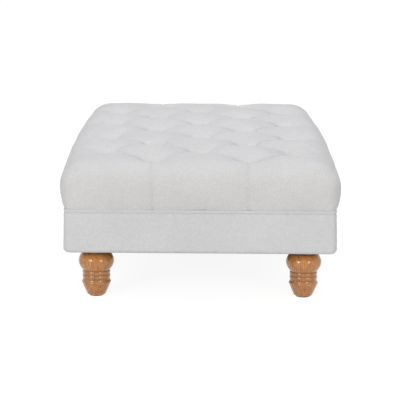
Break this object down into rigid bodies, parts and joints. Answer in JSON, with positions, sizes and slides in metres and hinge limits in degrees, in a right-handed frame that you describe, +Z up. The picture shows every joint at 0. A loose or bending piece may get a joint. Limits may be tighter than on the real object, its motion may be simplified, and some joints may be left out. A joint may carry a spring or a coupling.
{
  "type": "upholstered footstool",
  "caption": "Rectangular upholstered footstool with a deep-buttoned boucle top, piped seam, plain boucle box base and turned wooden legs.",
  "frame": {"origin": "on the floor under the middle of the stool", "axes": "+Z up, +Y along the length, +X across the width; the pictured short end faces -Y"},
  "size_m": [0.72, 1.2, 0.372],
  "materials": {
    "boucle_top": "looped cream boucle",
    "boucle_buttons": "looped cream boucle",
    "boucle_piping": "looped cream boucle",
    "boucle_band": "looped cream boucle",
    "wadding": "loose polyester wadding",
    "foam": "open-cell upholstery foam",
    "plywood": "raw plywood",
    "frame_pine": "planed pine",
    "black_cloth": "matte non-woven cloth",
    "twine": "waxed cord",
    "toggle_plastic": "moulded",
    "leg_wood": "honey-stained and lacquered",
    "bolt_steel": "zinc plated",
    "nylon": "moulded"
  },
  "bodies": {
    "root": {"band_cover": "boucle_band", "band_wadding": "wadding", "bottom_cloth": "black_cloth", "button_twines": "twine", "corner_block_back_left": "frame_pine", "corner_block_back_right": "frame_pine", "corner_block_front_left": "frame_pine", "corner_block_front_right": "frame_pine", "cross_rail_back": "frame_pine", "cross_rail_front": "frame_pine", "deck_board": "plywood", "end_rail_back": "frame_pine", "end_rail_front": "frame_pine", "foam_block": "foam", "foot_glides": "nylon", "hanger_bolts": "bolt_steel", "piping": "boucle_piping", "side_rail_left": "frame_pine", "side_rail_right": "frame_pine", "top_cover": "boucle_top", "tuft_buttons": "boucle_buttons", "turned_legs": "leg_wood", "twine_toggles": "toggle_plastic"}
  },
  "joints": []
}
